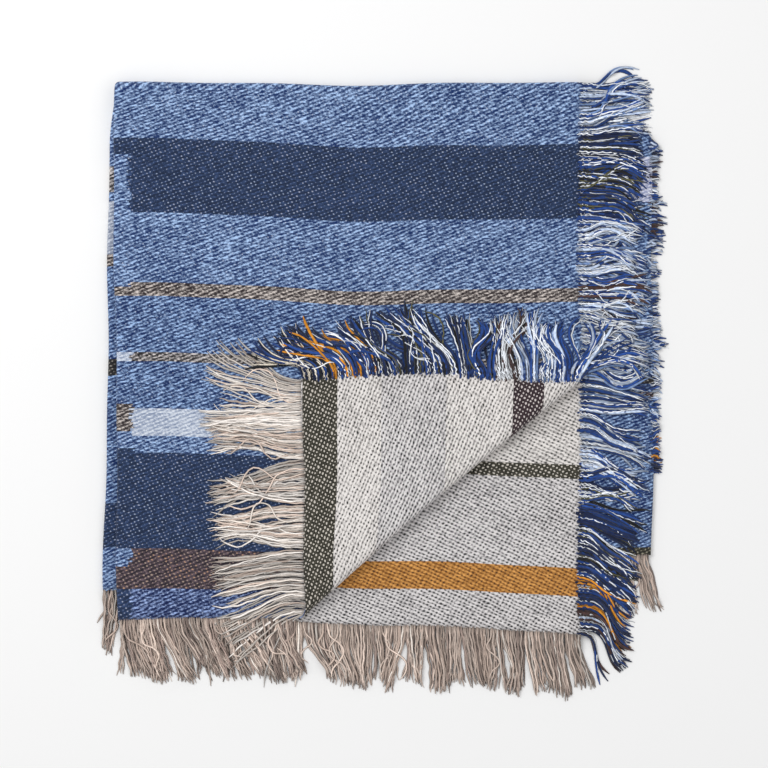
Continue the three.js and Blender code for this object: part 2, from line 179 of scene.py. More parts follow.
def flap_shape():
    """How much the turned back corner stretches and slants, so that its point comes to its place."""
    corner = fold_in_four(np.array(HALF_WIDTH), np.array(UPPER_LENGTH))[:2] - ROLL_START
    point = FLAP_POINT - ROLL_START
    run = -point @ ROLL_NORMAL - ROLL_RADIUS
    stretch = run / (corner @ ROLL_NORMAL + ROLL_RADIUS * (1 - math.pi))
    return stretch, (point @ ROLL_ALONG - corner @ ROLL_ALONG) / run


FLAP_STRETCH, FLAP_SLANT = flap_shape()


def roll_place(points):
    """Distances along the roll and beyond it, of places on layer 1."""
    place = points[..., :2] - ROLL_START
    return place @ ROLL_ALONG, place @ ROLL_NORMAL


def from_roll(along_roll, across_roll):
    return ROLL_START + along_roll[..., None] * ROLL_ALONG + across_roll[..., None] * ROLL_NORMAL


def turn_back(points):
    along_roll, across_roll = roll_place(points)
    arc = across_roll + ROLL_RADIUS
    turn = np.clip(arc / ROLL_RADIUS, 0, math.pi)
    run = np.maximum(0, arc - math.pi * ROLL_RADIUS) * FLAP_STRETCH
    lift = np.cos(math.pi / 2 * np.minimum(1, run / ROLL_SETTLE)) ** 2
    turned = arc > 0
    across_roll = np.where(turned, -ROLL_RADIUS + ROLL_RADIUS * np.sin(turn) - run, across_roll)
    along_roll = along_roll + FLAP_SLANT * run
    height = np.where(run > 0, lerp(LAYER_PITCH, 2 * ROLL_RADIUS, lift), ROLL_RADIUS * (1 - np.cos(turn)))
    bow_share = np.sin(math.pi * np.clip(along_roll / ROLL_LENGTH, 0, 1))
    across_roll = across_roll - ROLL_BOW * bow_share * np.exp(-((across_roll / ROLL_BOW_REACH) ** 2))
    flat = from_roll(along_roll, across_roll)
    rightwards = math.pi * np.clip((flat[..., 0] - FLAP_POINT[0]) / (HALF_WIDTH - FLAP_POINT[0]), 0, 1)
    bowed = np.sin(rightwards) * (1 + FLAP_BOW_SKEW * np.cos(rightwards))
    flat[..., 1] += FLAP_BOW * bowed * smoothstep(run, 0, FLAP_BOW_REACH)
    return np.concatenate([flat, (points[..., 2] + np.where(turned, height, 0))[..., None]], axis=-1)


def wander(place, beside, waves):
    """Moves places by waves that run along the other direction."""
    for reach, wavelength, phase in waves:
        place = place + reach * np.sin(beside / wavelength + phase)
    return place


def settle(points):
    """The unevenness of the whole stack: soft swells that grow with height, and edges that wander."""
    x, y, z = points[..., 0], points[..., 1], points[..., 2]
    swell = sum(reach * np.sin(x / wave_x + y / wave_y + phase) for reach, wave_x, wave_y, phase in SWELLS)
    share = np.clip((z - THICKNESS / 2) / (THICKNESS / 2 + 3 * LAYER_PITCH), 0, 2)
    return np.stack([wander(x, y, WANDER_X), wander(y, x, WANDER_Y), z + share * swell], axis=-1)


def cloth_points(across, along):
    """The middle of the cloth's thickness at points of the flat cloth."""
    across, along = np.broadcast_arrays(np.asarray(across, float), np.asarray(along, float))
    points = fold_in_four(across, along)
    layer1 = (across > 0) & (along > 0)
    points = np.where(layer1[..., None], turn_back(points), points)
    return settle(points)


def cloth_normals(across, along):
    step = 0.02
    down = cloth_points(across, along + step) - cloth_points(across, along - step)
    right = cloth_points(across + step, along) - cloth_points(across - step, along)
    normal = np.cross(down, right)
    return normal / np.linalg.norm(normal, axis=-1, keepdims=True)


def weave_place(across, along):
    """The cloth's own measure in millimetres, which the weave and the stripes follow. The stripes bow as
    the cloth was pulled askew, and the turned back corner keeps its true scale."""
    folded = fold_in_four(across, along)
    fade = smoothstep(along, *BOW_FADE_IN) * (1 - smoothstep(along, *BOW_FADE_OUT))
    aside = np.abs(across)
    arch = BOW_ARCH * np.sin(math.pi * aside / BOW_SPAN)
    bow = (arch + BOW_PULL * (aside / HALF_WIDTH) ** BOW_POWER + BOW_START) * fade
    layer1 = (across > 0) & (along > 0)
    u = across * spread_at(across, along)
    v = along - np.where(layer1, bow, 0)
    along_roll, across_roll = roll_place(folded)
    run = (across_roll + ROLL_RADIUS - math.pi * ROLL_RADIUS) * FLAP_STRETCH
    unrolled = from_roll(along_roll + FLAP_SLANT * run, -ROLL_RADIUS - run)
    flap_u = HALF_WIDTH - (FLAP_POINT[1] - unrolled[..., 1])
    flap_v = UPPER_LENGTH - (unrolled[..., 0] - FLAP_POINT[0])
    share = np.where(layer1, smoothstep(across_roll, -ROLL_BLEND, -ROLL_RADIUS), 0)
    return lerp(u, flap_u, share), lerp(v, flap_v, share)


def offset_to_frame():
    """From the cloth's own origin at its folds to the frame's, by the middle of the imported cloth."""
    samples = 400
    across = np.linspace(-HALF_WIDTH, HALF_WIDTH, samples)
    along = np.linspace(-LOWER_LENGTH, UPPER_LENGTH, samples)
    low_corner, high_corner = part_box("blanket")
    points = cloth_points(across[:, None], along[None, :]).reshape(-1, 3)
    centre = (points[:, :2].min(0) + points[:, :2].max(0)) / 2 * MM
    target = np.array([(low_corner[k] + high_corner[k]) / 2 for k in (0, 1)])
    return np.array([*(target - centre), 0.0])


OFFSET = offset_to_frame()


def in_frame(points):
    return points * MM + OFFSET


def linear(hex_colour, alpha=None):
    """An sRGB hex colour as linear values."""
    channels = [int(hex_colour[k:k + 2], 16) / 255 for k in (1, 3, 5)]
    values = [c / 12.92 if c <= 0.04045 else ((c + 0.055) / 1.055) ** 2.4 for c in channels]
    return (*values, alpha) if alpha is not None else tuple(values)


# A Mix node's sockets for numbers and vectors lie between its share and its two colours.
MIX_GAP = (None,) * 5
MIX_RESULT = 2


def add(tree, kind, *inputs, **settings):
    """Adds a node with its settings. Each input in turn is a value, a socket to link, or None to leave."""
    node = tree.nodes.new(kind)
    for name, value in settings.items():
        setattr(node, name, value)
    for socket, value in zip(node.inputs, inputs):
        if isinstance(value, bpy.types.NodeSocket):
            tree.links.new(value, socket)
        elif value is not None:
            socket.default_value = value
    return node


def formula(tree, values, steps):
    """Works out the rows of a table. Each row has a name, an operation and what goes in. MIX takes a share
    and two colours, and every other operation takes numbers."""
    for name, operation, *inputs in steps:
        sockets = [values[item] if isinstance(item, str) else item for item in inputs]
        if operation == "MIX":
            share, *colours = sockets
            node = add(tree, "ShaderNodeMix", share, *MIX_GAP, *colours, data_type="RGBA")
            values[name] = node.outputs[MIX_RESULT]
        else:
            values[name] = add(tree, "ShaderNodeMath", *sockets, operation=operation).outputs[0]
    return values


def empty_material(name):
    material = bpy.data.materials.new(name)
    material.use_nodes = True
    tree = material.node_tree
    tree.nodes.clear()
    return material, tree


def finish_cotton(tree, colour, height, roughness, sheen, relief):
    """Ends a cotton material: matt, with a faint sheen, and with a relief in metres that follows a height."""
    bump = add(tree, "ShaderNodeBump", 1.0, relief)
    tree.links.new(height, bump.inputs["Height"])
    shader = add(tree, "ShaderNodeBsdfPrincipled", colour)
    for socket, value in (
        ("Roughness", roughness),
        ("Specular IOR Level", 0.2),
        ("Sheen Weight", sheen),
        ("Sheen Roughness", 0.6),
    ):
        shader.inputs[socket].default_value = value
    tree.links.new(bump.outputs[0], shader.inputs["Normal"])
    add(tree, "ShaderNodeOutputMaterial", shader.outputs[0])


# What the weave shows in each stripe: its floats' light and dark shades, the colour of the ties that hold
# them, the share of light, the ties' size, and how many of the ties take the amber of a stray fibre
Stripe = namedtuple("Stripe", "light dark tie share ties amber")
BLUE = Stripe("#afcdf6", "#0d2a5e", "#d2def2", 0.455, 0.2, 0.15)
MID_BLUE = Stripe("#a6c6f2", "#0a2558", "#d2def2", 0.425, 0.2, 0.0)
DEEP_BLUE = Stripe("#a4bdf0", "#0a1c4c", "#c8d6ee", 0.37, 0.2, 0.0)
NAVY = Stripe("#34486f", "#19263f", "#b4c2da", 0.56, 0.34, 0.1)
BROWN = Stripe("#d8cec8", "#2a2226", "#e9e2dc", 0.43, 0.3, 0.1)
DARK_BROWN = Stripe("#d2cccc", "#242124", "#e9e2dc", 0.42, 0.3, 0.0)
PALE = Stripe("#cfd7e4", "#808eaa", "#eef2f8", 0.72, 0.3, 0.0)
MOTTLED = Stripe("#6a5a62", "#252028", "#b8a494", 0.58, 0.5, 0.4)
BLACK = Stripe("#4d4a46", "#1c1c20", "#a8a49c", 0.4, 0.5, 0.0)
GREY = Stripe("#c9cfdb", "#7d869a", "#e6eaf0", 0.55, 0.3, 0.0)
LILAC = Stripe("#d6d8ea", "#8d96b8", "#eceef6", 0.6, 0.3, 0.0)
DARK_EDGE = Stripe("#5c594a", "#1f1f1c", "#b5b09c", 0.4, 0.5, 0.0)

# Where each stripe ends along the cloth. The main stripes hold on layers 1 and 4, and the second ones on
# layers 2 and 3 and round the left fold, up to a ragged line. The right ones hold on layer 3's far edge.
MAIN_STRIPES = (
    (-560, NAVY), (-520, BLUE), (-500, BROWN), (-430, MID_BLUE), (-395, PALE), (-330, BLUE),
    (-318, DARK_BROWN), (-210, MID_BLUE), (-110, NAVY), (69, BLUE), (161, NAVY), (251, BLUE), (267, BROWN),
    (337, MID_BLUE), (347, DARK_BROWN), (410, MID_BLUE), (438, PALE), (460, BLUE), (582, NAVY),
    (631, MOTTLED), (700, DEEP_BLUE),
)
SECOND_STRIPES = (
    (-580, BLUE), (-529, NAVY), (-369, MID_BLUE), (-349, BLACK), (-235, MID_BLUE), (-217, BROWN),
    (-150, GREY), (-140, MID_BLUE), (-109, DARK_BROWN), (67, BLUE), (90, NAVY), (254, BLUE), (265, BROWN),
    (334, MID_BLUE), (349, PALE), (402, MID_BLUE), (434, BROWN), (458, BLUE), (583, NAVY), (602, BLUE),
    (634, MOTTLED), (700, NAVY),
)
RIGHT_STRIPES = (
    (-624, DARK_EDGE), (-430, MID_BLUE), (-416, MOTTLED), (-409, MID_BLUE), (-396, BLACK),
    (-161, MID_BLUE), (-100, LILAC), (700, MID_BLUE),
)

# The reverse, where the natural warp floats lie over the coloured weft
NATURAL = Stripe("#e2dede", "#6a686a", "#16171a", 0.75, 0.58, 0.0)
SOFT_NATURAL = Stripe("#ece7e4", "#7f7b79", "#242422", 0.78, 0.5, 0.0)
OLIVE = Stripe("#4d4a40", "#1f1f18", "#c9c2b8", 0.5, 0.7, 0.0)
PLUM = Stripe("#44363b", "#1f1418", "#ccc2c0", 0.5, 0.7, 0.0)
OCHRE = Stripe("#e4a65c", "#7c4c1a", "#4a3020", 0.57, 0.46, 0.0)
REVERSE_MAIN = (
    (-640, OLIVE), (-300, NATURAL), (-250, PLUM), (0, NATURAL), (366, SOFT_NATURAL), (403, PLUM),
    (483, SOFT_NATURAL), (565, NATURAL), (620, SOFT_NATURAL), (666, OLIVE), (700, SOFT_NATURAL),
)
REVERSE_SECOND = (
    (-400, NATURAL), (-360, OCHRE), (462, SOFT_NATURAL), (478, OLIVE), (589, NATURAL), (623, OCHRE),
    (700, NATURAL),
)
STRIPE_RANGE = (-700.0, 700.0)
SECOND_END = 20.0
SECOND_RAGGED = 8.0
RIGHT_END = -600.0

# The weave's unevenness, as noises that are stretched along its threads. Each has what it follows besides the
# distance across, and its patches for each millimetre across and for each unit of that: shift is 11 x 7 mm,
# slow 50 x 20 mm, grain 2 x 1 mm, and fleck 8 mm on rows of its own.
NOISES = (
    ("shift", "along", 0.09, 0.14),
    ("slow", "along", 0.02, 0.05),
    ("grain", "along", 0.45, 0.9),
    ("fleck", "row", 0.12, 0.7),
)
NOISE_APART = 7.3
LATTICE_WANDER = 0.9
LINE_START = -0.3
BEAD_START = -0.1
EVERY_OTHER = 0.05
CONTRAST = 1.8

# line and bead add up to this at the middle of a tie.
TIE_PEAK = 2.0
RELIEF_BY_LINE, RELIEF_BY_BEAD = 0.3, 0.2

# Amber fibres gather in patches: how strongly each noise and a tie's own chance bring them, and the levels
# that the two noises have to pass
AMBER_FIBRE = "#d08a34"
AMBER_SLOW = 9.0
AMBER_SLOW_LEVEL = 4.9
AMBER_FLECK = 6.0
AMBER_FLECK_LEVEL = 3.2
AMBER_CHANCE = 1.4

# How strongly each measure of the weave shows on a side of the cloth
Side = namedtuple("Side", "line bead grain slow fleck tie_gain tie_line tie_bead tie_chance tie_most")
FACE = Side(0.24, 0.05, 1.75, 0.5, 1.9, 1.1, 1.0, 1.0, 0.9, 0.75)
REVERSE = Side(-0.22, -0.1, 1.4, 0.4, 0.9, 1.7, 1.0, 0.85, 0.85, 0.97)


def stripe_ramps(tree, place, stripes):
    """The light, dark and tie colours of the stripes, and their other measures as a fourth colour."""
    low, high = STRIPE_RANGE
    starts = [low] + [end for end, _ in stripes[:-1]]
    outputs = []
    for column in ("light", "dark", "tie", None):
        ramp = add(tree, "ShaderNodeValToRGB", place)
        ramp.color_ramp.interpolation = "CONSTANT"
        elements = ramp.color_ramp.elements
        elements.remove(elements[-1])
        for k, (start, (_, stripe)) in enumerate(zip(starts, stripes)):
            element = elements[0] if k == 0 else elements.new((start - low) / (high - low))
            measures = (stripe.share, stripe.ties, stripe.amber, 1)
            element.color = linear(getattr(stripe, column), 1) if column else measures
        elements[0].position = 0
        outputs.append(ramp.outputs[0])
    return outputs


def weave_values(tree):
    """The satin's measures at a point. Its ties lie on a slanting lattice, one for each five crossings. line
    is highest on the lines of ties that climb to the right over the face, and bead at the ties on a line."""
    uv = add(tree, "ShaderNodeUVMap", uv_map="weave")
    parts = add(tree, "ShaderNodeSeparateXYZ", uv.outputs[0])
    low, high = STRIPE_RANGE
    values = formula(tree, {"u": parts.outputs[0], "v": parts.outputs[1]}, (
        ("across", "MULTIPLY", "u", 1000.0),
        ("along", "MULTIPLY", "v", 1000.0),
        ("pick", "DIVIDE", "along", WEFT_PITCH),
        ("end", "DIVIDE", "across", WARP_PITCH),
        ("row", "FLOOR", "pick"),
    ))
    for seed, (name, follows, patches_across, patches_on) in enumerate(NOISES):
        formula(tree, values, (
            ("x", "MULTIPLY", "across", patches_across),
            ("y", "MULTIPLY", follows, patches_on),
        ))
        place = add(tree, "ShaderNodeCombineXYZ", values["x"], values["y"], NOISE_APART * seed)
        noise = add(tree, "ShaderNodeTexNoise", place.outputs[0], None, 1.0, 2.0, noise_dimensions="3D")
        values[name] = noise.outputs[0]
    row_noise = add(tree, "ShaderNodeTexWhiteNoise", None, values["row"], noise_dimensions="1D")
    values["row chance"] = row_noise.outputs["Value"]
    formula(tree, values, (
        ("uneven", "MULTIPLY_ADD", "shift", LATTICE_WANDER, -LATTICE_WANDER / 2),
        ("line sum", "MULTIPLY_ADD", "pick", 2.0, "end"),
        ("line even", "MULTIPLY_ADD", "line sum", 1 / SATIN, LINE_START),
        ("line place", "ADD", "line even", "uneven"),
        ("pick back", "MULTIPLY", "pick", -1.0),
        ("bead sum", "MULTIPLY_ADD", "end", 2.0, "pick back"),
        ("bead even", "MULTIPLY_ADD", "bead sum", 1 / SATIN, BEAD_START),
        ("bead place", "ADD", "bead even", "uneven"),
        ("line angle", "MULTIPLY", "line place", 2 * math.pi),
        ("line", "COSINE", "line angle"),
        ("half angle", "MULTIPLY", "line place", math.pi),
        ("every other line", "COSINE", "half angle"),
        ("bead angle", "MULTIPLY", "bead place", 2 * math.pi),
        ("bead", "COSINE", "bead angle"),
        ("line number", "ROUND", "line place"),
        ("bead number", "ROUND", "bead place"),
        ("stripe row", "MULTIPLY", "row", WEFT_PITCH),
        ("stripe above", "SUBTRACT", "stripe row", low),
        ("stripe", "DIVIDE", "stripe above", high - low),
    ))
    key = add(tree, "ShaderNodeCombineXYZ", values["line number"], values["bead number"], 0.0)
    chance = add(tree, "ShaderNodeTexWhiteNoise", key.outputs[0], noise_dimensions="3D")
    values["chance"] = chance.outputs["Value"]
    return values


def woven_side(tree, values, ramps, side):
    """One side of the satin: floats that shade along the slanting lines, and ties in their own colour."""
    values["light"], values["dark"], values["tie"], measures = ramps
    parts = add(tree, "ShaderNodeSeparateColor", measures)
    values["share"], values["ties"], values["amber"] = parts.outputs[:3]
    noise_middle = (side.grain + side.slow + side.fleck) / 2
    formula(tree, values, (
        ("by line", "MULTIPLY_ADD", "line", side.line, "share"),
        ("by half", "MULTIPLY_ADD", "every other line", EVERY_OTHER, "by line"),
        ("by bead", "MULTIPLY_ADD", "bead", side.bead, "by half"),
        ("by grain", "MULTIPLY_ADD", "grain", side.grain, "by bead"),
        ("by slow", "MULTIPLY_ADD", "slow", side.slow, "by grain"),
        ("by fleck", "MULTIPLY_ADD", "fleck", side.fleck, "by slow"),
        ("blend sum", "SUBTRACT", "by fleck", noise_middle),
        ("blend low", "MAXIMUM", "blend sum", 0.0),
        ("blend high", "MINIMUM", "blend low", 1.0),
        ("blend", "POWER", "blend high", CONTRAST),
        ("tie line", "MULTIPLY_ADD", "line", side.tie_line, -TIE_PEAK - side.tie_chance / 2),
        ("tie bead", "MULTIPLY_ADD", "bead", side.tie_bead, "tie line"),
        ("tie chance", "MULTIPLY_ADD", "chance", side.tie_chance, "tie bead"),
        ("tie size", "MULTIPLY_ADD", "ties", TIE_PEAK, "tie chance"),
        ("tie raw", "MULTIPLY", "tie size", side.tie_gain),
        ("tie low", "MAXIMUM", "tie raw", 0.0),
        ("tie high", "MINIMUM", "tie low", 1.0),
        ("tie share", "MULTIPLY", "tie high", side.tie_most),
        ("amber place", "MULTIPLY_ADD", "slow", AMBER_SLOW, -AMBER_SLOW_LEVEL),
        ("amber fleck", "MULTIPLY_ADD", "fleck", AMBER_FLECK, "amber place"),
        ("amber raw", "MULTIPLY_ADD", "chance", AMBER_CHANCE, "amber fleck"),
        ("amber low", "SUBTRACT", "amber raw", AMBER_FLECK_LEVEL),
        ("amber high", "MAXIMUM", "amber low", 0.0),
        ("amber most", "MINIMUM", "amber high", 1.0),
        ("amber share", "MULTIPLY", "amber most", "amber"),
        ("height line", "MULTIPLY_ADD", "line", RELIEF_BY_LINE, RELIEF_BY_LINE + RELIEF_BY_BEAD),
        ("height", "MULTIPLY_ADD", "bead", RELIEF_BY_BEAD, "height line"),
        ("floats", "MIX", "blend", "dark", "light"),
        ("tie fibres", "MIX", "amber share", "tie", linear(AMBER_FIBRE, 1)),
        ("colour", "MIX", "tie share", "floats", "tie fibres"),
    ))
    finish_cotton(tree, values["colour"], values["height"], roughness=0.95, sheen=0.1, relief=0.8 * MM)


def woven_face():
    """Woven cotton satin, weft on the face. Soft floats in a light and a dark shade lie over a natural warp,
    so the eye sees streaks that climb to the right, and small pale dots on the navy."""
    material, tree = empty_material("cotton_satin_face")
    values = weave_values(tree)
    formula(tree, values, (
        ("ragged", "MULTIPLY_ADD", "row chance", SECOND_RAGGED, SECOND_END - SECOND_RAGGED / 2),
        ("second", "LESS_THAN", "across", "ragged"),
        ("right", "LESS_THAN", "across", RIGHT_END),
    ))
    stripes = (MAIN_STRIPES, SECOND_STRIPES, RIGHT_STRIPES)
    tables = [stripe_ramps(tree, values["stripe"], rows) for rows in stripes]
    ramps = []
    for main_ramp, second_ramp, right_ramp in zip(*tables):
        formula(tree, values, (
            ("left part", "MIX", "second", main_ramp, second_ramp),
            ("ramp", "MIX", "right", "left part", right_ramp),
        ))
        ramps.append(values["ramp"])
    woven_side(tree, values, ramps, FACE)
    return material


def woven_reverse():
    """The same satin's reverse, where natural warp floats lie over a coloured weft. The eye sees pale dashes
    with a dark dot of weft between their ends, and pale dots on the olive and plum stripes."""
    material, tree = empty_material("cotton_satin_reverse")
    values = weave_values(tree)
    formula(tree, values, (("second", "LESS_THAN", "across", SECOND_END),))
    tables = [stripe_ramps(tree, values["stripe"], rows) for rows in (REVERSE_MAIN, REVERSE_SECOND)]
    ramps = [formula(tree, values, (("ramp", "MIX", "second", *pair),))["ramp"] for pair in zip(*tables)]
    woven_side(tree, values, ramps, REVERSE)
    return material


# A yarn's strands lie side by side along it, so their streaks are far longer than they are wide: how many go
# round it and how many in a metre of it, and the streaks' spread and least depth. The streaks are partly
# uneven dye and partly painted shade between the strands, lighter where the same noise raises the relief.
STRANDS_ROUND = 3.2
STRANDS_IN_METRE = 55.0
DYE_AND_SHADE_SPREAD = 1.1
DYE_AND_SHADE_LEAST = 0.45


def cotton_yarn(name, twist, depth):
    """Loose cotton yarn, softly spun, so the eye sees matt strands with faint turns of twist and uneven dye.
    The turns are painted shade, and the streaks are uneven dye with painted shade between the strands. twist
    is the length of a turn in millimetres, and depth is how strongly the turns' painted shade shows."""
    material, tree = empty_material(name)
    tint = add(tree, "ShaderNodeAttribute", attribute_name="yarn_colour")
    uv = add(tree, "ShaderNodeUVMap", uv_map="yarn")
    parts = add(tree, "ShaderNodeSeparateXYZ", uv.outputs[0])
    # The turns of twist are painted shade: a wave along a spiral that darkens and lightens the colour.
    values = formula(tree, {"around": parts.outputs[0], "length": parts.outputs[1]}, (
        ("turns", "MULTIPLY", "length", 1000.0 / twist),
        ("spiral", "ADD", "turns", "around"),
        ("angle", "MULTIPLY", "spiral", 2 * math.pi),
        ("wave", "SINE", "angle"),
        ("shade", "MULTIPLY", "wave", depth),
        ("strand", "MULTIPLY", "around", STRANDS_ROUND),
        ("stretch", "MULTIPLY", "length", STRANDS_IN_METRE),
    ))
    streak = add(tree, "ShaderNodeCombineXYZ", values["strand"], values["stretch"])
    noise = add(tree, "ShaderNodeTexNoise", streak.outputs[0], None, 1.0, 2.0)
    values["noise"] = noise.outputs[0]
    # The streak noise lightens the colour where it raises the relief: partly uneven dye, partly painted shade
    # between strands.
    formula(tree, values, (
        ("uneven", "MULTIPLY_ADD", "noise", DYE_AND_SHADE_SPREAD, DYE_AND_SHADE_LEAST),
        ("value", "ADD", "uneven", "shade"),
    ))
    dyed = add(tree, "ShaderNodeVectorMath", tint.outputs[0], None, None, values["value"], operation="SCALE")
    finish_cotton(tree, dyed.outputs[0], values["noise"], roughness=0.9, sheen=0.15, relief=0.5 * MM)
    return material


def even_lines(low, high, step):
    return np.linspace(low, high, max(1, round(abs(high - low) / step)) + 1)


def lines_across_fold(arc, low, high):
    """Lines across a fold, close together on its arc."""
    fold = np.linspace(-arc, arc, 2 * ARC_STEPS + 1)
    return np.unique(np.concatenate([
        even_lines(low, -arc, CLOTH_STEP),
        fold,
        even_lines(arc, high, CLOTH_STEP),
    ]).round(4))


def flat_cloth():
    """The flat cloth as a grid, cut along lines parallel to the roll. Its x is across and its y is along."""
    across = lines_across_fold(LEFT_ARC, -HALF_WIDTH, HALF_WIDTH)
    along = lines_across_fold(TOP_ARC, -LOWER_LENGTH, UPPER_LENGTH)
    rows, columns = len(across), len(along)
    grid = np.stack(np.meshgrid(across, along, indexing="ij"), axis=-1).reshape(-1, 2)
    first = (np.arange(rows - 1)[:, None] * columns + np.arange(columns - 1)).ravel()
    quads = np.stack([first, first + 1, first + columns + 1, first + columns], axis=1)
    mesh = bpy.data.meshes.new("flat_cloth")
    mesh.from_pydata([(a, b, 0.0) for a, b in grid], [], quads.tolist())
    shape = bmesh.new()
    shape.from_mesh(mesh)
    bpy.data.meshes.remove(mesh)
    # Only faces of layer 1 near a line are cut, clear of the folds. On layer 1 the flat cloth's along runs
    # against y, so the roll's normal is turned over with it.
    clear_of_folds, reach, margin, weld = 100, 16, 3, 0.4
    normal = Vector((ROLL_NORMAL[0], -ROLL_NORMAL[1], 0))
    start = Vector((
        ROLL_START[0] - LEFT_LOOP / 2 + LEFT_ARC,
        -ROLL_START[1] - (LAYER_PITCH * 3 / 2) + TOP_ARC,
        0,
    ))
    for line in np.linspace(-ROLL_RADIUS - margin, -ROLL_RADIUS + math.pi * ROLL_RADIUS + margin, ROLL_LINES):
        near = []
        for face in shape.faces:
            centre = face.calc_center_median()
            if min(centre.x, centre.y) > clear_of_folds and abs((centre - start).dot(normal) - line) < reach:
                near.append(face)
        geometry = near + list({e for f in near for e in f.edges}) + list({v for f in near for v in f.verts})
        place = start + normal * line
        bmesh.ops.bisect_plane(shape, geom=geometry, dist=weld, plane_co=place, plane_no=normal)
    bmesh.ops.triangulate(shape, faces=[face for face in shape.faces if len(face.verts) > 4])
    shape.verts.index_update()
    points = np.array([(v.co.x, v.co.y) for v in shape.verts])
    faces = [[v.index for v in face.verts] for face in shape.faces]
    shape.free()
    return points, faces


def rim_edges(faces):
    """The edges that only one face has, in that face's order."""
    seen = {}
    for face in faces:
        for p, q in zip(face, face[1:] + face[:1]):
            if (q, p) in seen:
                del seen[(q, p)]
            else:
                seen[(p, q)] = True
    return list(seen)


def smooth_piece(name, points, faces, uv_name, place):
    """A smooth piece of points in the cloth's own millimetres, with a place for each on a UV map."""
    mesh = bpy.data.meshes.new(name)
    mesh.from_pydata(in_frame(points).tolist(), [], faces)
    mesh.update()
    corners = np.zeros(len(mesh.loops), dtype=np.int32)
    mesh.loops.foreach_get("vertex_index", corners)
    layer = mesh.uv_layers.new(name=uv_name)
    layer.data.foreach_set("uv", place[corners].ravel())
    mesh.polygons.foreach_set("use_smooth", np.ones(len(faces), dtype=bool))
    piece = bpy.data.objects.new(name, mesh)
    bpy.context.scene.collection.objects.link(piece)
    return piece


def crossed_wave(place, beside, wavelength, bend, bend_wavelength):
    """A wave that a second wave, across it, bends."""
    return np.sin(place / wavelength + bend * np.sin(beside / bend_wavelength))


def build_cloth(name):
    points, faces = flat_cloth()
    across, along = points[:, 0], points[:, 1]
    middle = cloth_points(across, along)
    normals = cloth_normals(across, along)
    to_hem = np.where(along > 0, UPPER_LENGTH - along, LOWER_LENGTH + along)
    to_edge = np.minimum(HALF_WIDTH - np.abs(across), to_hem)
    half = THICKNESS / 2 * lerp(EDGE_SHARE, 1, smoothstep(to_edge, 0, EDGE_TAPER))
    # Fine unevenness of the hand-laid cloth, the same on both sides of it so that its thickness stays true
    fine = FINE_HEIGHT * crossed_wave(across, along, *FINE_ACROSS) * crossed_wave(along, across, *FINE_ALONG)
    fine = fine * smoothstep(np.abs(along), *FINE_FADE) * smoothstep(np.abs(across), *FINE_FADE)
    upper = middle + normals * (half + fine)[:, None]
    lower = middle - normals * (half - fine)[:, None]
    sheet = np.concatenate([upper, lower])
    sheet[:, 2] = np.maximum(sheet[:, 2], 0)
    count = len(points)
    loops = [face[::-1] for face in faces]
    loops += [[count + p for p in face] for face in faces]
    loops += [[p, q, count + q, count + p] for p, q in rim_edges(faces)]
    place = np.tile(np.stack(weave_place(across, along), axis=1) * MM, (2, 1))
    piece = smooth_piece(name, sheet, loops, "weave", place)
    piece.data.materials.append(woven_face())
    piece.data.materials.append(woven_reverse())
    slots = np.zeros(len(loops), dtype=np.int32)
    slots[len(faces):2 * len(faces)] = 1
    piece.data.polygons.foreach_set("material_index", slots)
    return piece


# The ground that yarns are laid on, in small squares, and the steps at which cloth is laid on it
GROUND_CELL = 1.5
GROUND_CORNER = np.array([-60.0, -820.0])
GROUND_SIZE = (820, 900)
CLOTH_START = 0.5
CLOTH_LAY_STEP = 1.1


def layer_length(layer):
    return UPPER_LENGTH if LAYERS[layer][1] > 0 else LOWER_LENGTH


class Ground:
    """The height of what has been laid so far, for each small square of the surface."""

    def __init__(self):
        self.heights = np.zeros([int(side / GROUND_CELL) for side in GROUND_SIZE])

    def cells(self, points):
        cell = ((points[..., :2] - GROUND_CORNER) / GROUND_CELL).astype(int)
        cell = np.clip(cell, 0, np.array(self.heights.shape) - 1)
        return cell[..., 0], cell[..., 1]

    def at(self, points):
        return self.heights[self.cells(points)]

    def raise_to(self, points, heights):
        np.maximum.at(self.heights, self.cells(points), heights)

    def lay_cloth(self, layer, turned_back):
        sign_across, sign_along = LAYERS[layer]
        across = sign_across * np.arange(CLOTH_START, HALF_WIDTH, CLOTH_LAY_STEP)
        along = sign_along * np.arange(CLOTH_START, layer_length(layer), CLOTH_LAY_STEP)
        across, along = (side.ravel() for side in np.meshgrid(across, along))
        if layer == 1:
            beyond = roll_place(fold_in_four(across, along))[1] > -ROLL_RADIUS
            across, along = across[beyond == turned_back], along[beyond == turned_back]
        points = cloth_points(across, along)
        self.raise_to(points, points[:, 2] + THICKNESS / 2)


# Yarn colours
ROYAL, DEEP, SKY, WHITE, CREAM = "#1f4285", "#15254c", "#becde6", "#e8ecf2", "#e6dccb"
INK, KHAKI, AMBER, UMBER, STEEL = "#14161c", "#585638", "#dd9226", "#4b3533", "#7690bd"
BEIGE, SAND, TAUPE, ECRU, LINEN = "#cfbdb1", "#bba89c", "#a49188", "#ddd3ca", "#ece5df"
THIN = {WHITE, CREAM, KHAKI}

# Weft colours along a side, from the top fold: where a stretch ends, and its yarns' colours by weight
WEFT_COLOURS = (
    (66, {SKY: 4, WHITE: 4, STEEL: 2, ROYAL: 3}),
    (176, {ROYAL: 5, DEEP: 3, WHITE: 3, KHAKI: 2, INK: 1}),
    (250, {SKY: 3, WHITE: 3, STEEL: 2, ROYAL: 4}),
    (272, {WHITE: 3, UMBER: 3, SKY: 1, ROYAL: 2}),
    (375, {WHITE: 4, SKY: 3, STEEL: 2, ROYAL: 4}),
    (470, {WHITE: 4, SKY: 3, STEEL: 1, ROYAL: 4}),
    (597, {DEEP: 4, INK: 1, WHITE: 3, ROYAL: 4, KHAKI: 1}),
    (640, {AMBER: 2, ROYAL: 4, WHITE: 3, DEEP: 3}),
    (720, {DEEP: 4, WHITE: 3, UMBER: 2, ROYAL: 2, SKY: 1}),
)
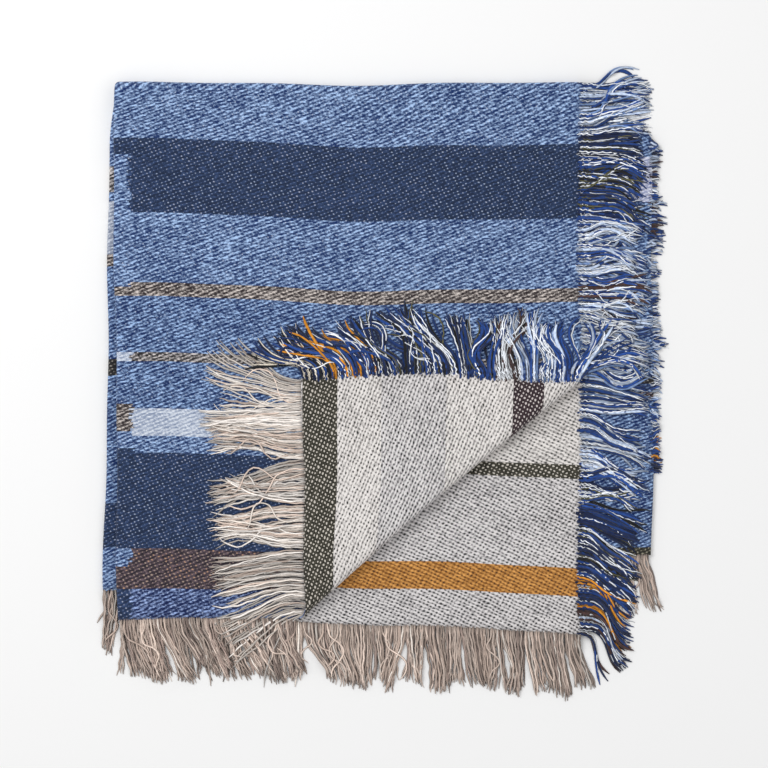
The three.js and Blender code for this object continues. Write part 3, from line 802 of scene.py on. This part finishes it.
# The turned back corner's weft, from its roll to its point
FLAP_COLOURS = (
    (445, {SKY: 3, WHITE: 3, ROYAL: 5, STEEL: 1}),
    (470, {UMBER: 3, INK: 1, WHITE: 4}),
    (590, {ROYAL: 8, DEEP: 5, WHITE: 3, KHAKI: 1, INK: 1}),
    (640, {AMBER: 4, ROYAL: 3, WHITE: 2, DEEP: 3}),
    (720, {CREAM: 3, DEEP: 4, ROYAL: 2, WHITE: 1, INK: 2}),
)
LOWER_COLOURS = (
    (100, {ROYAL: 3, SKY: 2, DEEP: 1}),
    (200, {ROYAL: 3, UMBER: 2, SKY: 2, WHITE: 1}),
    (470, {SKY: 3, ROYAL: 3, WHITE: 3, STEEL: 1}),
    (505, {AMBER: 2, ROYAL: 3, WHITE: 1}),
    (700, {UMBER: 2, ROYAL: 3, DEEP: 2}),
)
WARP_COLOURS = ((2000, {BEIGE: 5, SAND: 4, TAUPE: 2, ECRU: 1}),)
FLAP_WARP_COLOURS = ((2000, {LINEN: 4, ECRU: 5, BEIGE: 3}),)

# Fringe, from the bottom layer up. start and end are distances along the edge from the fold it meets, length
# and width are a yarn's, and clump is how many yarns hang in a lock. The finest yarns are drawn a little
# thicker than real ones, so that they show. lean gives (share of the stretch, slope of the yarns, + away from
# that fold). crowd below 1 brings the yarns closer together towards the end, and curl bends them as they go.
Fringe = namedtuple(
    "Fringe", "node layer edge start end yarns length width clump colours lean unlike crowd curl turned_back",
    defaults=(None, 1, 0, False),
)
FRINGES = (
    Fringe(
        "fringe_layer4_hem", 4, "hem", start=8, end=580, yarns=170, length=44, width=2.8, clump=10,
        colours=WARP_COLOURS, lean=((0, -0.3), (0.03, -0.2), (0.08, 0.0), (1, 0.1)),
    ),
    Fringe(
        "fringe_layer4_side", 4, "side", start=78, end=520, yarns=170, length=57, width=3.4, clump=9,
        colours=LOWER_COLOURS, lean=((0, 0.0), (1, 0.05)),
    ),
    Fringe(
        "fringe_layer3_hem", 3, "hem", start=2, end=582, yarns=380, length=80, width=2.7, clump=11,
        colours=WARP_COLOURS, lean=((0, -0.1), (0.1, 0.0), (0.85, 0.1), (0.95, 0.2), (1, 0.35)),
    ),
    Fringe(
        "fringe_layer3_side", 3, "side", start=72, end=520, yarns=230, length=10, width=3.0, clump=9,
        colours=LOWER_COLOURS, lean=((0, 0.0), (1, 0.1)),
    ),
    Fringe(
        "fringe_layer2_side", 2, "side", start=8, end=669, yarns=560, length=86, width=3.6, clump=11,
        colours=WEFT_COLOURS, crowd=0.7, curl=0.25,
        lean=((0, -0.2), (0.3, 0.0), (0.7, 0.1), (0.86, 0.3), (0.94, 0.6), (1, 0.85)),
    ),
    Fringe(
        "fringe_layer2_hem", 2, "hem", start=4, end=584, yarns=560, length=80, width=2.7, clump=11,
        colours=WARP_COLOURS,
        lean=((0, 0.2), (0.25, 0.3), (0.4, 0.05), (0.6, -0.1), (0.85, 0.15), (0.95, 0.3), (1, 0.5)),
    ),
    Fringe(
        "fringe_layer1_hem", 1, "hem", start=4, end=224, yarns=225, length=80, width=2.7, clump=11,
        colours=WARP_COLOURS, lean=((0, 0.05), (0.2, 0.35), (0.5, 0.5), (0.8, 0.35), (1, 0.1)),
    ),
    Fringe(
        "fringe_layer1_side", 1, "side", start=2, end=366, yarns=470, length=84, width=3.6, clump=11,
        colours=WEFT_COLOURS, curl=0.35,
        lean=((0, -0.25), (0.05, -0.5), (0.13, -0.7), (0.18, -0.3), (0.23, 0.0), (0.35, 0.15), (0.5, -0.1),
              (1, 0.0)),
    ),
    Fringe(
        "fringe_flap_left", 1, "hem", start=240, end=583, yarns=250, length=119, width=2.4, clump=13,
        colours=FLAP_WARP_COLOURS, turned_back=True,
        lean=((0, -0.5), (0.08, -0.35), (0.18, -0.1), (0.3, 0.0), (0.86, 0.0), (0.95, 0.4), (1, 0.8)),
    ),
    Fringe(
        "fringe_flap_top", 1, "side", start=382, end=669, yarns=430, length=88, width=3.8, clump=12,
        colours=FLAP_COLOURS, unlike="tangled", curl=-0.15, turned_back=True,
        lean=((0, -0.1), (0.3, 0.15), (0.5, 0.5), (0.65, 0.75), (0.8, 0.9), (0.93, 1.15), (1, 1.4)),
    ),
)
FIRST_SEED = 12
# A layer's fringe is laid and then its cloth, from the bottom up. The turned back corner comes last.
LAYING_ORDER = ((4, False), (3, False), (2, False), (1, False), (1, True))

# How unlike one another the locks and yarns of a stretch are: the spread of the locks' bends and waves, and
# of the yarns' own bends and their tips', how far yarns go to their lock's middle, and the share of strays
Unlike = namedtuple("Unlike", "bend wave yarn tip pull stray")
UNLIKE = {
    "hem": Unlike(0.13, 0.12, 0.06, 0.15, (0.15, 0.5), 0.03),
    "side": Unlike(0.2, 0.36, 0.08, 0.22, (0.15, 0.55), 0.03),
    "tangled": Unlike(0.18, 0.55, 0.12, 0.35, (0.1, 0.5), 0.06),
}
ROOT_JITTER = 0.7
ROOT_INSET = {"hem": (-2, -1), "side": (-8, -1)}
LOCK_LENGTHS = (0.84, 1.06)
LOCK_TURNS = 0.9
BEND_END = 0.45
PULL_END = 0.3
YARN_LENGTHS = (0.92, 1.04)
YARN_WIDTHS = (0.7, 1.15)
THIN_WIDTH = 0.46
STRAY_WAVE = (0.6, 1.3)
STRAY_TURNS = (0.7, 1.6)
# Yarns are laid lock by lock, apart from each yarn's own chance. Thin ones and strays come later, so on top.
LOCK_ORDER = 0.7
THIN_ORDER = 0.45
STRAY_ORDER = 0.8

# The weft's crimp, in millimetres: how far along a yarn it reaches and how high it is, for a thin and a thick
# yarn, and the slower waves that it fades into
CRIMP_STEP = 1.5
CRIMP_REACH = 24.0
THICK_REACH = 0.7
THIN_STEP, THICK_STEP = 2.6, 4.5
THIN_CRIMP, THICK_CRIMP = 1.0, 0.6
THIN_WAVE, THICK_WAVE = (0.3, 0.8), 0.15
CRIMP_FADE = (0.5, 1.6)
CRIMP_LENGTHS = (4.5, 8.5)
WAVE_LENGTHS = (9, 16)
CRIMP_SWELL = 0.3
CRIMP_SWELL_LENGTHS = (12, 25)
WARP_POINTS = 20
WARP_WAVE = (0.2, 0.9)
WARP_WAVE_LENGTHS = (14, 30)

# Light and shade: how dark roots are and over what length, the gleam of a crimp, and how bright the lowest
# and the topmost yarns are, since the lower ones lie in the others' shade
WARP_ROOT_SHADE, WARP_ROOT_REACH = 0.45, 7
WEFT_ROOT_SHADE, WEFT_ROOT_REACH = 0.25, 14
CRIMP_GLEAM = 0.2
LOWEST_LIGHT, TOP_LIGHT = 0.45, 1.15

# Laying: a yarn's half height as a share of its width and at most, how much of that it keeps where it is
# drawn tight, how far the height of its root is felt, and how it is marked on the ground
LIFT_SHARE = 0.42
MOST_LIFT = 1.1
TIGHT_LIFT = 0.8
TIGHT_ROUNDS = 2
ROOT_REACH = 34
MARKS = 70
UNMARKED = 6
MARK_LIFT = 0.5


def edge_place(row, distance, outside):
    """The place on the cloth at a distance along a fringed edge and outside it."""
    sign_across, sign_along = LAYERS[row.layer]
    if row.edge == "side":
        return np.full_like(distance, sign_across * (HALF_WIDTH + outside)), sign_along * distance
    return sign_across * distance, np.full_like(distance, sign_along * (layer_length(row.layer) + outside))


def edge_directions(row, distance):
    """The directions straight out of the cloth and onward along its edge, at each distance along it."""
    inner_inset, outer_inset = -1.5, -0.5
    edge = cloth_points(*edge_place(row, distance, inner_inset))
    outer = cloth_points(*edge_place(row, distance, outer_inset))
    onward = cloth_points(*edge_place(row, distance + 1, inner_inset))
    forward = outer[:, :2] - edge[:, :2]
    forward /= np.linalg.norm(forward, axis=1, keepdims=True)
    aside = np.stack([-forward[:, 1], forward[:, 0]], axis=1)
    aside *= np.sign(np.sum(aside * (onward - edge)[:, :2], axis=1, keepdims=True))
    return forward, aside


def yarn_shades(row, distance, chance):
    """Each yarn's colour, by where it leaves the cloth."""
    shades = []
    for place in distance:
        weights = next(colours for end, colours in row.colours if place < end)
        share = np.array(list(weights.values()), float)
        shades.append(list(weights)[chance.choice(len(weights), p=share / share.sum())])
    return shades


Locks = namedtuple("Locks", "bend wave phase length centre order")


def hang_in_locks(row, distance, unlike, chance):
    """The lock that each yarn hangs in, and what each lock has of its own."""
    lock = np.cumsum(chance.random(len(distance)) < 1 / row.clump)
    count = lock.max() + 1
    return lock, Locks(
        bend=chance.normal(0, unlike.bend, count),
        wave=chance.normal(0, unlike.wave, count),
        phase=chance.uniform(0, 1, count),
        length=chance.uniform(*LOCK_LENGTHS, count),
        centre=np.bincount(lock, distance, count) / np.maximum(np.bincount(lock, minlength=count), 1),
        order=chance.random(count),
    )


def ripple(far, wavelengths, chance):
    """A wave along a yarn, of some wavelength in a range."""
    return np.sin(2 * math.pi * (far / chance.uniform(*wavelengths) + chance.random()))


def weft_crimp(far, near, thin, chance):
    """How far a weft yarn's crimp takes it aside, and the light on it. It fades about the distance near."""
    fade = 1 - smoothstep(far, *(near * share for share in CRIMP_FADE))
    wave = chance.uniform(*THIN_WAVE) if thin else THICK_WAVE
    crimp = (THIN_CRIMP if thin else THICK_CRIMP) * fade + wave * (1 - fade)
    crimp *= 1 - CRIMP_SWELL + CRIMP_SWELL * ripple(far, CRIMP_SWELL_LENGTHS, chance)
    wavelength = lerp(chance.uniform(*WAVE_LENGTHS), chance.uniform(*CRIMP_LENGTHS), fade)
    turn = 2 * math.pi * (far / wavelength + chance.random())
    light = 1 - WEFT_ROOT_SHADE * (1 - smoothstep(far, 0, WEFT_ROOT_REACH))
    return crimp * np.sin(turn), (1 + CRIMP_GLEAM * fade * np.cos(turn)) * light


def lay(flat, width, root_height, ahead, ground):
    """Lays a yarn on what is below it and marks it on the ground. Gives its middle line and half height."""
    lift = min(width * LIFT_SHARE, MOST_LIFT)
    beneath = ground.at(flat)
    z = np.maximum(beneath + lift, root_height * (1 - smoothstep(ahead, 0, ROOT_REACH)))
    z[0] = root_height
    for _ in range(TIGHT_ROUNDS):
        z[1:-1] = np.maximum(beneath[1:-1] + lift * TIGHT_LIFT, (z[:-2] + 2 * z[1:-1] + z[2:]) / 4)
    path = np.column_stack([flat, z])
    share = np.linspace(0, 1, len(flat))
    marks = np.column_stack([np.interp(np.linspace(0, 1, MARKS), share, path[:, axis]) for axis in range(3)])
    ground.raise_to(marks[UNMARKED:], marks[UNMARKED:, 2] + lift * MARK_LIFT)
    return path, lift


def yarn_paths(row, ground, chance):
    """The middle lines of a stretch of fringe, laid one by one on what is below them. Yarns hang together in
    locks, each with a bend of its own. Near the cloth they keep the crimp that the weave gave them."""
    count = row.yarns
    warp = row.edge == "hem"
    unlike = UNLIKE[row.unlike or row.edge]
    along = np.linspace(0, 1, count) ** row.crowd
    distance = lerp(row.start, row.end, along) + chance.normal(0, ROOT_JITTER, count)
    forward, aside = edge_directions(row, distance)
    inset = chance.uniform(*ROOT_INSET[row.edge], count)
    roots = cloth_points(*edge_place(row, distance, inset))
    shades = yarn_shades(row, distance, chance)
    lean = np.interp((distance - row.start) / (row.end - row.start), *zip(*row.lean))
    lock, locks = hang_in_locks(row, distance, unlike, chance)
    thin_shade = np.array([shade in THIN for shade in shades])
    stray = (chance.random(count) < unlike.stray) & (thin_shade | warp)
    on_top = thin_shade * THIN_ORDER + stray * STRAY_ORDER
    order = np.argsort(locks.order[lock] * LOCK_ORDER + chance.random(count) + on_top)

    paths = []
    for rank, i in enumerate(order):
        k = lock[i]
        thin = thin_shade[i] and not warp
        length = row.length * locks.length[k] * chance.uniform(*YARN_LENGTHS) - inset[i]
        near = min(CRIMP_REACH * (1 if thin else THICK_REACH), length / 2)
        if warp:
            far = np.linspace(0, length, WARP_POINTS)
        else:
            steps = round((length - near) / (THIN_STEP if thin else THICK_STEP))
            far = np.concatenate([np.arange(0, near, CRIMP_STEP), np.linspace(near, length, steps + 1)])
        s = far / length
        pull = (locks.centre[k] - distance[i]) / length
        sway = locks.wave[k] * np.sin(2 * math.pi * (s * LOCK_TURNS + locks.phase[k]))
        if stray[i]:
            wave = chance.uniform(*STRAY_WAVE)
            sway = wave * np.sin(2 * math.pi * (s * chance.uniform(*STRAY_TURNS) + chance.random()))
        heading = (
            (lean[i] + locks.bend[k] + sway) * smoothstep(s, 0, BEND_END)
            + pull * chance.uniform(*unlike.pull) * smoothstep(s, 0, PULL_END)
            + chance.normal(0, unlike.yarn) * s
            + chance.normal(0, unlike.tip) * s ** 3
            + row.curl * s ** 2
        )
        step = np.diff(far)
        ahead = np.concatenate([[0], np.cumsum(np.cos(heading[1:]) * step)])
        side = np.concatenate([[0], np.cumsum(np.sin(heading[1:]) * step)])
        if warp:
            side += chance.uniform(*WARP_WAVE) * ripple(far, WARP_WAVE_LENGTHS, chance)
            side -= side[0]
            light = 1 - WARP_ROOT_SHADE * (1 - smoothstep(far, 0, WARP_ROOT_REACH))
        else:
            crimp, light = weft_crimp(far, near, thin, chance)
            side += crimp
        flat = roots[i, :2] + ahead[:, None] * forward[i] + side[:, None] * aside[i]
        width = row.width * (THIN_WIDTH if thin else 1) * chance.uniform(*YARN_WIDTHS)
        path, lift = lay(flat, width, roots[i, 2], ahead, ground)
        paths.append((path, s, width, lift, shades[i], light * lerp(LOWEST_LIGHT, TOP_LIGHT, rank / count)))
    return paths


# A yarn's body: the width from which it has a fifth side, its share of width at its root and the share lost
# at its tip, its slubs, the spread of its dye, and the light on its top and on its sides, which lie in shade
FIVE_SIDED = 3.4
ROOT_WIDTH = 0.85
ROOT_END = 0.15
TIP_LOSS = 0.65
TIP_START = 0.86
SLUB = 0.1
SLUB_TURNS = (8, 20)
SLUB_PHASES = 6
DYES = (0.75, 1.2)
SIDE_LIGHT, TOP_SIDE_LIGHT = 0.6, 1.3
SHADED_BELOW = -0.2
UV_SHIFTS = (0, 50)


def build_yarns(row, ground, seed):
    """One mesh of all the yarns of a stretch of fringe."""
    chance = np.random.default_rng(seed)
    points, faces, places, tints = [], [], [], []
    total = 0
    for path, s, width, lift, shade, light in yarn_paths(row, ground, chance):
        stations = len(path)
        sides = 4 if width < FIVE_SIDED else 5
        turns = 2 * math.pi * np.arange(sides) / sides
        tangent = np.gradient(path, axis=0)
        tangent /= np.linalg.norm(tangent, axis=1, keepdims=True)
        beside = np.cross(tangent, [0.0, 0.0, 1.0])
        beside /= np.maximum(np.linalg.norm(beside, axis=1, keepdims=True), 1e-6)
        above = np.cross(beside, tangent)
        swell = lerp(ROOT_WIDTH, 1, smoothstep(s, 0, ROOT_END)) * (1 - TIP_LOSS * smoothstep(s, TIP_START, 1))
        swell = swell * (1 + SLUB * np.sin(s * chance.uniform(*SLUB_TURNS) + chance.random() * SLUB_PHASES))
        rings = (
            path[:, None, :]
            + beside[:, None, :] * (np.cos(turns)[None, :, None] * (width / 2 * swell)[:, None, None])
            + above[:, None, :] * (np.sin(turns)[None, :, None] * (lift * swell)[:, None, None])
        )
        rings[..., 2] = np.maximum(rings[..., 2], 0)
        points.append(rings.reshape(-1, 3))
        index = total + np.arange(stations * sides).reshape(stations, sides)
        after = np.roll(index, -1, axis=1)
        faces += np.stack([index[:-1], index[1:], after[1:], after[:-1]], axis=-1).reshape(-1, 4).tolist()
        faces += [index[0].tolist(), index[-1][::-1].tolist()]
        length = np.concatenate([[0], np.cumsum(np.linalg.norm(np.diff(path, axis=0), axis=1))])
        place = np.stack(np.meshgrid(length * MM, np.arange(sides) / sides, indexing="ij")[::-1], axis=-1)
        places.append(place.reshape(-1, 2) + [chance.uniform(*UV_SHIFTS), 0])
        # Painted light: the tint carries the painted shade of roots, of lower yarns and of each yarn's sides,
        # its paler top and the crimp's painted gleam, and goes into yarn_colour.
        tint = np.array(linear(shade)) * chance.uniform(*DYES) * light[:, None]
        around = lerp(SIDE_LIGHT, TOP_SIDE_LIGHT, smoothstep(np.sin(turns), SHADED_BELOW, 1))
        tint = tint[:, None, :] * around[None, :, None]
        tints.append(np.concatenate([tint, np.ones((stations, sides, 1))], axis=2).reshape(-1, 4))
        total += stations * sides
    name = row.node.replace("fringe", "yarns")
    piece = smooth_piece(name, np.concatenate(points), faces, "yarn", np.concatenate(places))
    colour = piece.data.color_attributes.new(name="yarn_colour", type="FLOAT_COLOR", domain="POINT")
    colour.data.foreach_set("color", np.concatenate(tints).ravel())
    return piece


class ThrowSizes(bpy.types.PropertyGroup):
    camera_height: bpy.props.FloatProperty(
        name="Camera height", description="Height of the camera over the throw", default=3.0, unit="LENGTH")
    view_width: bpy.props.FloatProperty(
        name="View width", description="Width that the camera takes in", default=0.965, unit="LENGTH")


class ThrowColours(bpy.types.PropertyGroup):
    floor: bpy.props.FloatVectorProperty(
        name="Floor", description="Colour of the plain floor", subtype="COLOR", size=3,
        default=linear("#f4f4f4"))


class THROW_OT_cloth(bpy.types.Operator):
    """Adds the folded cloth"""
    bl_idname = "throw.cloth"
    bl_label = "Cloth"

    def execute(self, context):
        piece = build_cloth("throw_cloth")
        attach(piece, "root")
        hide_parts("blanket")
        return {"FINISHED"}


class THROW_OT_fringe(bpy.types.Operator):
    """Adds the loose yarns on the cloth's edges"""
    bl_idname = "throw.fringe"
    bl_label = "Fringe"

    def execute(self, context):
        ground = Ground()
        yarns = {
            "hem": cotton_yarn("loose_warp_yarn", twist=4.5, depth=0.04),
            "side": cotton_yarn("loose_weft_yarn", twist=7.0, depth=0.1),
        }
        for layer, turned_back in LAYING_ORDER:
            for number, row in enumerate(FRINGES):
                if (row.layer, row.turned_back) == (layer, turned_back):
                    piece = build_yarns(row, ground, FIRST_SEED + number)
                    piece.data.materials.append(yarns[row.edge])
                    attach(piece, "root")
                    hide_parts(row.node)
            ground.lay_cloth(layer, turned_back)
        return {"FINISHED"}


# The stage: a plain floor, a light room, and two lamps with their places, sizes and powers. The middle of the
# photograph lies so many millimetres from the throw's folds.
FLOOR_SIZE = 12.0
ROOM_LIGHT = 0.62
LIGHTS = (
    ("key", (-1.3, 1.1, 2.2), 1.6, 38.0),
    ("fill", (1.6, -0.6, 2.0), 2.0, 8.0),
)
PHOTO_MIDDLE = np.array([336.25, -375.25, 0.0])


class THROW_OT_stage(bpy.types.Operator):
    """Adds the floor, the lights and the camera"""
    bl_idname = "throw.stage"
    bl_label = "Stage"

    def execute(self, context):
        scene = context.scene
        sizes, colours = scene.throw_sizes, scene.throw_colours
        bpy.ops.mesh.primitive_plane_add(size=FLOOR_SIZE)
        floor = context.active_object
        floor.name = "floor"
        material, tree = empty_material("matt_paint")
        shader = add(tree, "ShaderNodeBsdfPrincipled", (*colours.floor, 1))
        shader.inputs["Roughness"].default_value = 0.9
        add(tree, "ShaderNodeOutputMaterial", shader.outputs[0])
        floor.data.materials.append(material)

        world = bpy.data.worlds.new("soft_room")
        world.use_nodes = True
        background = world.node_tree.nodes["Background"]
        background.inputs["Color"].default_value = (1, 1, 1, 1)
        background.inputs["Strength"].default_value = ROOM_LIGHT
        scene.world = world
        for name, place, size, power in LIGHTS:
            data = bpy.data.lights.new(name, "AREA")
            data.size = size
            data.energy = power
            light = bpy.data.objects.new(name, data)
            light.location = place
            light.rotation_euler = (-Vector(place)).to_track_quat("-Z", "Y").to_euler()
            scene.collection.objects.link(light)

        data = bpy.data.cameras.new("camera")
        data.lens = data.sensor_width * sizes.camera_height / sizes.view_width
        camera = bpy.data.objects.new("camera", data)
        middle = in_frame(PHOTO_MIDDLE)
        camera.location = (middle[0], middle[1], sizes.camera_height)
        scene.collection.objects.link(camera)
        scene.camera = camera
        scene.view_settings.view_transform = "Standard"
        return {"FINISHED"}


class THROW_PT_panel(bpy.types.Panel):
    """Lists the throw's pieces"""
    bl_label = "Throw"
    bl_idname = "THROW_PT_panel"
    bl_space_type = "VIEW_3D"
    bl_region_type = "UI"
    bl_category = "Throw"

    def draw(self, context):
        for operator in OPERATORS:
            self.layout.operator(operator.bl_idname)
        for group in (context.scene.throw_sizes, context.scene.throw_colours):
            for name in group.bl_rna.properties.keys():
                if name not in ("rna_type", "name"):
                    self.layout.prop(group, name)


OPERATORS = (THROW_OT_cloth, THROW_OT_fringe, THROW_OT_stage)
CLASSES = (ThrowSizes, ThrowColours, *OPERATORS, THROW_PT_panel)


def register():
    for item in CLASSES:
        bpy.utils.register_class(item)
    bpy.types.Scene.throw_sizes = bpy.props.PointerProperty(type=ThrowSizes)
    bpy.types.Scene.throw_colours = bpy.props.PointerProperty(type=ThrowColours)


def unregister():
    del bpy.types.Scene.throw_colours
    del bpy.types.Scene.throw_sizes
    for item in reversed(CLASSES):
        bpy.utils.unregister_class(item)


def main():
    register()
    bpy.ops.throw.cloth()
    bpy.ops.throw.fringe()
    bpy.ops.throw.stage()


if __name__ == "__main__":
    main()
